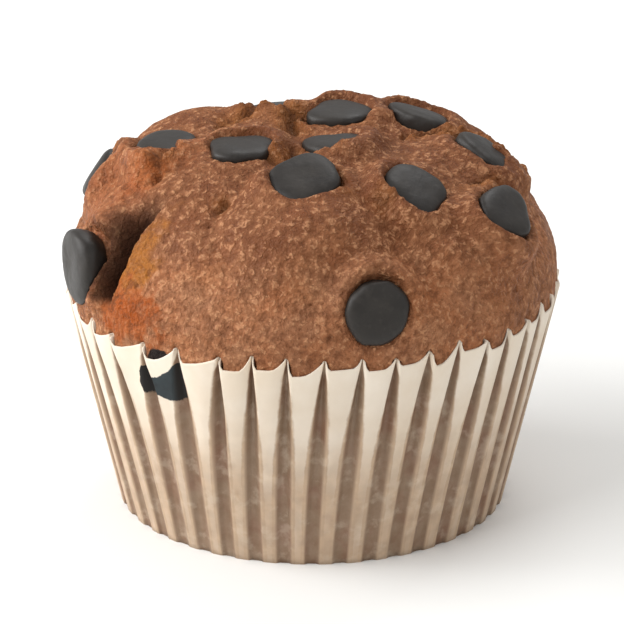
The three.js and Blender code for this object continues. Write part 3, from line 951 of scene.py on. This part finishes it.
def torn_creases(points, step_up):
    """Lift along the torn creases, with masks of the young crumb beside them and of their split."""
    lowest = mix(TEARS_ABOVE, TEARS_ABOVE_IN_FRONT, smooth_step(0, 20 * MM, -points[:, 1]))
    tear = smooth_step(-0.25, 0.1, cloud(points, 12 * MM, 2.9, 2))
    tear = tear * smooth_step(lowest, lowest + 3 * MM, points[:, 2])
    wander = 0.25 * MM * cloud(points, 3 * MM, 8.2, 2)
    crease = np.exp(-((step_up / LIP_WIDTH) ** 2)) * tear
    split = np.exp(-(((step_up + wander) / SPLIT_WIDTH) ** 2)) * tear
    crags = np.abs(cloud(points, 2.6 * MM, 6.6)) - 0.3
    return crease * crags * LIP_CRAGS - SPLIT_DEPTH * split, crease, split


# %% [markdown]
# The crust's grain is half round crumbs and half fine wrinkles. Round cells give the crumbs, and the folds
# of a cloudy noise give the wrinkles. Here and there a bubble has burst and left a pit.

# %% Layer: grain and pits
GRAIN = 1.3 * MM
GRAIN_RELIEF = 0.24 * MM
PIT_DEPTH = 0.4 * MM


def grain(points):
    """Height of the grain from 0 to 1, and depth of the pits from 0 to 1."""
    warp = 0.4 * MM * cloud(points, 1.6 * MM, 9.1, 2)[:, None]
    near = over_points(lambda p: noise.voronoi(p)[0][0], points + warp, GRAIN, 2.3)
    curl = np.abs(cloud(points, 1.1 * MM, 5.2, 2))
    bumps = np.clip(0.6 * (1.15 - 1.3 * near) + 0.5 * (1 - 4 * curl), 0, 1)
    far = over_points(lambda p: noise.voronoi(p)[0][0], points, 3.4 * MM, 5.9)
    pits = smooth_step(0.2, 0.05, far) * smooth_step(-0.2, 0.3, cloud(points, 7 * MM, 3.7, 2))
    return bumps, pits


# %% [markdown]
# The layers are summed once for the dome and once for the swell above the paper. The same sum leaves masks
# for the crust's material, so that colour and relief come from the same values. Round patches mark the
# places that the photograph shows at the left: a low, smooth and ruddy shoulder and the golden crumb by the
# crack.

# %% Add the layers up
LOW_SHOULDER = (-86, 54, 13, 7, 0.2)  # azimuth, height, half width, half height and raggedness of a patch
SMOOTH_SHOULDER = (-78, 56, 13, 8, 0.4)
GOLDEN_CRUMB = (-48, 50, 4.8, 8, 0.5)
RUDDY_FOOT = (-45, 42.5, 7.5, 5, 0.6)
RUDDY_TOP = (-68, 59.3, 4, 2.2, 0.5)
DENT_AT_SHOULDER = 1.8 * MM


def patch(points, azimuth, z, half_width, half_height, ragged):
    """A soft mask round a place on the dome, in millimetres, with a ragged edge."""
    off_turn = np.arctan2(points[:, 0], -points[:, 1]) - math.radians(azimuth)
    off = np.hypot(off_turn * DOME_RADIUS / (half_width * MM), (points[:, 2] - z * MM) / (half_height * MM))
    return smooth_step(1.25, 0.6, off + ragged * cloud(points, 2.5 * MM, azimuth, 2))


def crust_relief(points, normals, strength):
    """Lift of the crust over the plain dome at points on it, and its masks. Strength fades it near paper."""
    high = smooth_step(0, RELIEF_FADE, points[:, 2] - DOME_WIDEST)
    lumpy, step_up = lump_lift(points)
    dish = np.zeros(len(points))
    for chip in chips:
        if chip["on_top"]:
            d = np.linalg.norm(points - chip["seat"], axis=1)
            dish += DISH_DEPTH * np.exp(-((d / (DISH_REACH * chip["diameter"])) ** 2))
    swells = 0.6 * MM * cloud(points, 13 * MM, 1.3) + 0.25 * MM * cloud(points, 4.5 * MM, 7.7)
    low_shoulder = DENT_AT_SHOULDER * patch(points, *LOW_SHOULDER)
    lift = (lumpy - dish) * high + swells * mix(0.4, 1, high) - low_shoulder
    lift, shade = brim_chips(points, normals, lift)
    torn_lift, crease, split = torn_creases(points, step_up)
    crack, cleft = shoulder_crack(points)
    lift += torn_lift
    lift -= crack

    bumps, pits = grain(points)
    shoulder = patch(points, *SMOOTH_SHOULDER)
    patchy = smooth_step(-0.45, 0.35, cloud(points, 15 * MM, 6.1, 2)) * (1 - 0.8 * shoulder)
    lift += GRAIN_RELIEF * (bumps - 0.5) * mix(0.5, 1, patchy) - PIT_DEPTH * pits
    # painted shade in the hollows between grains
    hollow_shade = smooth_step(0.25, 0.0, bumps)
    crown = smooth_step(50 * MM, 59 * MM, points[:, 2] + 3 * MM * cloud(points, 11 * MM, 4.9, 2))
    golden = np.clip(0.85 * patch(points, *GOLDEN_CRUMB) + 0.45 * crease, 0, 1)
    ruddy = 0.95 * patch(points, *RUDDY_FOOT) + 0.35 * patch(points, *RUDDY_TOP)
    ruddy = np.clip(ruddy + 0.3 * shoulder, 0, 1)
    untinted = 1 - 0.7 * np.maximum(golden, ruddy)
    masks = {
        # grains: painted highlight on the grain's tops, weaker where the crust is golden or ruddy
        "grains": 0.45 * smooth_step(0.55, 1.0, bumps) * mix(0.3, 1, patchy) * untinted,
        # pits: painted shade in pits, grain hollows and along the chips' edges
        "pits": np.clip(0.7 * pits + 0.35 * hollow_shade + 0.45 * shade, 0, 1),
        # painted shade inside the shoulder crack and in the torn creases' split
        "torn": np.clip(cleft + 0.55 * split, 0, 1),
        "golden": golden,
        "ruddy": ruddy,
        # darker towards the top of the crown, less at the left shoulder
        "baked": 0.92 * crown * (1 - 0.9 * shoulder),
    }
    return lift * strength, masks


plain_normals = dome_normals(plain)
lift, masks = crust_relief(plain, plain_normals, 1)
crust_dome = plain + plain_normals * lift[:, None]
swell_points = swell.reshape(-1, 3)
swell_strength = np.repeat(np.linspace(0, 1, SWELL_ROWS, endpoint=False) ** 0.7, len(edge))
outward = swell_points * [1, 1, 0]
outward = outward / np.linalg.norm(outward, axis=1, keepdims=True)
swell_lift, swell_masks = crust_relief(swell_points, outward, swell_strength)
swell_points = swell_points + outward * swell_lift[:, None]
print("crust lifts from", round(lift.min() / MM, 2), "to", round(lift.max() / MM, 2), "mm")

# %% [markdown]
# One chip sits low, just under the rim at the front left. It has stained the cake above it, and the same
# chip shows dark through the soaked paper. The stain on the cake is a mask, as the cracks and pits are.

# %% Build the cake
SMEAR_AZIMUTH = math.radians(-34.2)
SMEAR_BELOW_RIM = 0.9 * MM
SMEAR_HALF = np.array([2.8, 2.8, 1.6]) * MM


def smear_depth(points):
    """How far inside the stain a point lies, in millimetres."""
    spot = polar(DOME_RADIUS, SMEAR_AZIMUTH, RIM_HEIGHT - SMEAR_BELOW_RIM)
    return 2 * (1 - np.linalg.norm((points - spot) / SMEAR_HALF, axis=1))


foot_points = np.concatenate(foot_rings)
cake_points = np.concatenate([crust_dome, foot_points, swell_points, [[0, 0, PAPER_THICK + CLEAR]]])
cake_faces = list(dome_faces)
columns = len(edge)
lower_rings = len(foot_rings) + SWELL_ROWS
cake_faces += ring_faces(lower_rings, columns, first=len(crust_dome))
last = len(crust_dome) + (lower_rings - 1) * columns
bottom = len(cake_points) - 1
for c in range(columns):
    d = (c + 1) % columns
    cake_faces.append((last + c, last + d, edge[d], edge[c]))
    cake_faces.append((bottom, len(crust_dome) + d, len(crust_dome) + c))
cake = make_piece("muffin_cake", cake_points, cake_faces, crust, ["crumb"])
for name in masks:
    below = np.zeros(len(foot_points))
    set_mask(cake, name, np.concatenate([masks[name], below, swell_masks[name], [0]]))
set_mask(cake, "smear", smear_depth(cake_points))
triangles = sum(len(p.vertices) - 2 for p in cake.data.polygons)
print("cake:", triangles, "triangles, top at", round(crust_dome[:, 2].max() / MM, 1), "mm")

# %% [markdown]
# ## Where the paper is soaked
# The folds touch the cake and are soaked nearly up to the rim. The panels stand clear of it near the rim and
# stay pale there, and lower down only a streak along their middle is a little paler. Fat creeps, so the
# edge of the stain is ragged. Every mask is worked out on the same grid of rows and columns as the wall.

# %% Stain the case
PALE_HEIGHTS = [0, 0.4, 0.55, 0.7, 0.8, 0.95, 1]
PALE_HALF = [0.3, 0.45, 0.62, 0.85, 1.02, 1.1, 2.2]  # steps from a panel's middle, at these heights
LOW_HEIGHTS = [0.35, 0.5, 0.65, 0.95]
LOW_SOAKED = [0.9, 0.6, 0.25, 0.02]  # how soaked the whole wall is there


def cloud_on_wall(stretch, size, seed):
    return cloud(wall.reshape(-1, 3) * stretch, size, seed).reshape(wall.shape[:2])


up_wall = np.broadcast_to(shares[:, None], wall.shape[:2])
off_middle = np.broadcast_to(np.abs(step)[None, :], wall.shape[:2])
wander = cloud_on_wall([1, 1, 1], 5 * MM, 3.1)
streaks = cloud_on_wall([1, 1, 0.18], 2.2 * MM, 6.6)
soaked = off_middle - np.interp(up_wall, PALE_HEIGHTS, PALE_HALF) - 0.12 * wander
low_wall = np.interp(up_wall + 0.06 * wander, LOW_HEIGHTS, LOW_SOAKED)
low_wall = np.clip(low_wall * (1 + 0.2 * streaks), 0, 1)
fold = smooth_step(0.9, 1.5, off_middle)
print("pale share of the wall:", round(float((soaked < 0).mean()), 2))

# %% [markdown]
# The low chip has printed itself on one panel, with a crisp edge where the paper left it, and the fold
# beside it is near black, partly from the chip's stain and partly as painted shade in the fold. Both are
# drawn as
# depths inside a simple outline: the print between two slanted lines across its panel, the black as half of
# an ellipse that ends just past the fold.

# %% The print of the low chip
PRINTED_PLEAT = 2
PRINTED_WIDTH = 7.8  # of that pleat, in millimetres, as the values below
PRINT_TOP = (4.3, 2.3)  # below the rim, at the pleat's left and right fold
PRINT_BOTTOM = (7.4, 8.8)
BLACK_HALF = (1.7, 2.6)  # width and height
BLACK_BELOW_RIM = 6.4
BLACK_PAST_FOLD = 0.7
from_middle = np.sign(step) * np.interp(np.abs(step), [0, 1, 3], [0, 0.42, 0.5])
across_pleat = np.broadcast_to((pleat + 0.5 + from_middle - PRINTED_PLEAT)[None, :], wall.shape[:2])
below_rim = RIM_HEIGHT / MM * (1 - up_wall)
printed = np.minimum(
    below_rim - mix(*PRINT_TOP, across_pleat),
    mix(*PRINT_BOTTOM, across_pleat) - below_rim,
)
sideways = PRINTED_WIDTH * (0.53 - np.abs(across_pleat - 0.5))
printed = np.clip(np.minimum(printed, sideways), -1, 1)
past_fold = PRINTED_WIDTH * across_pleat
rounded = np.hypot(
    np.minimum(past_fold, 0) / BLACK_HALF[0],
    (below_rim - BLACK_BELOW_RIM) / BLACK_HALF[1],
)
# near black in the fold beside the print: the chip's stain and painted shade
black = np.clip(np.minimum(BLACK_HALF[0] * (1 - rounded), BLACK_PAST_FOLD - past_fold), -1, 1)
for name, values, on_floor in (
    ("soaked", soaked, 1),
    ("low_wall", low_wall, 1),
    ("fold", fold, 0),
    ("print", printed, -1),
    ("black", black, -1),
):
    both_faces = np.concatenate([values, values[::-1]]).ravel()
    set_mask(case, name, np.concatenate([both_faces, [on_floor, on_floor]]))
print("printed share of the wall:", round(float((printed > 0).mean()), 4))

# %% [markdown]
# ## Chips
# A chip starts as a drop with a flat foot. These lie foot outward, with the point sunk in the cake, and the
# heat has rounded their edges. One rounded profile is turned round each chip's axis, and then every chip is
# bent out of true by noise with a seed of its own, so that no two have the same outline.

# %% Build the chips
CHIP_ROWS = 30
CHIP_COLUMNS = 64
CHIP_HEIGHT = 0.62  # of its diameter
FOOT_HIGHEST, TIP_LOWEST = 0.1, -0.89  # ends of the profile, as shares of that height


def chip_profile(turned):
    """Radius and height of the chip's outline, as shares, from the foot's middle (0) to the tip (pi)."""
    sine, cosine = np.sin(turned), np.cos(turned)
    outer = turned < math.pi / 2
    radius = np.where(outer, np.abs(sine) ** 0.5, np.abs(sine) ** 1.8)
    height = np.where(outer, 0.24 * np.abs(cosine) ** 0.65, 0.75 * cosine) - 0.14
    return radius, height


for chip in chips:
    i, diameter = chip["number"], chip["diameter"]
    turned = np.linspace(0, math.pi, CHIP_ROWS)[1:-1]
    radius, height = chip_profile(turned)
    around = np.linspace(0, FULL_TURN, CHIP_COLUMNS, endpoint=False)
    spokes = np.cos(around)[:, None] * chip["uphill"] + np.sin(around)[:, None] * chip["across"]
    spokes = spokes * chip_edge(chip, around)[:, None]
    foot = chip["face"] - chip["axis"] * FOOT_HIGHEST * CHIP_HEIGHT * diameter
    body = radius[:, None, None] * spokes
    body = body + (height * CHIP_HEIGHT * diameter)[:, None, None] * chip["axis"]
    ends = [chip["axis"] * end * CHIP_HEIGHT * diameter for end in (TIP_LOWEST, FOOT_HIGHEST)]
    points = np.concatenate([body[::-1].reshape(-1, 3), ends])
    away = points / np.linalg.norm(points, axis=1, keepdims=True)
    bent = 0.3 * MM * cloud(points, 5 * MM, 11.3 * i) + 0.08 * MM * cloud(points, 1.6 * MM, 3.9 * i)
    bent = bent if chip["on_top"] else np.minimum(bent, 0)
    points = foot + points + away * bent[:, None]
    faces = closed_tube(len(turned), CHIP_COLUMNS)
    number = chip["name"].split("_")[1]
    make_piece(f"chocolate_chip_{number}", points, faces, chocolate, [chip["name"]])
print("chips made:", len(chips))

# %% [markdown]
# ## Floor and light
# The muffin stands on a plain pale floor, which has to be many times wider than the muffin, so that no edge
# of it shows from any side.

# %% Floor
FLOOR = painted(238, 238, 236)
FLOOR_HALF = 4
floor_material, _, shader = new_material("pale_floor")
shader.inputs["Base Color"].default_value = (*FLOOR, 1)
shader.inputs["Roughness"].default_value = 0.9
floor_mesh = bpy.data.meshes.new("floor")
corners = [(-1, -1), (1, -1), (1, 1), (-1, 1)]
floor_mesh.from_pydata([(FLOOR_HALF * x, FLOOR_HALF * y, 0) for x, y in corners], [], [(0, 1, 2, 3)])
floor_mesh.materials.append(floor_material)
floor = add_to_scene("floor", floor_mesh)
floor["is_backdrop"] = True
print("floor:", 2 * FLOOR_HALF, "m wide")

# %% [markdown]
# Food looks dry and flat under one small lamp. A large soft key light stands at the front left, as in the
# photograph, and a low one at the left brightens the paper's edge there. A weak fill from the right and a
# light from above and behind draw the dome's outline, and a pale surround fills the shadows.

# %% Light
SURROUND = 0.56
world = bpy.data.worlds.new("studio")
world.use_nodes = True
world.node_tree.nodes["Background"].inputs["Color"].default_value = (1, 1, 1, 1)
world.node_tree.nodes["Background"].inputs["Strength"].default_value = SURROUND
bpy.context.scene.world = world
for name, azimuth, elevation, away, size, watts in (
    ("key", -55, 44, 0.9, 0.6, 4.4),
    ("fill", 55, 30, 1.0, 0.7, 0.9),
    ("back", 160, 55, 0.9, 0.5, 2.5),
    ("side", -95, 24, 0.8, 0.5, 5.0),
):
    lamp = bpy.data.lights.new(name, "AREA")
    lamp.size = size
    lamp.energy = watts
    look_at_muffin(add_to_scene(name, lamp), azimuth, elevation, away)
bpy.context.scene.view_settings.view_transform = "Standard"

# %% [markdown]
# ## Growth over the solid model
# How far the finished model's box reaches past the solid model's box is printed, in millimetres.

# %% Print how far the box has grown
dressed_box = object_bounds()
grown = [[round((a - b) / MM, 2) for a, b in zip(p, q)] for p, q in zip(dressed_box, cad_box)]
print("grown by, in mm:", grown)
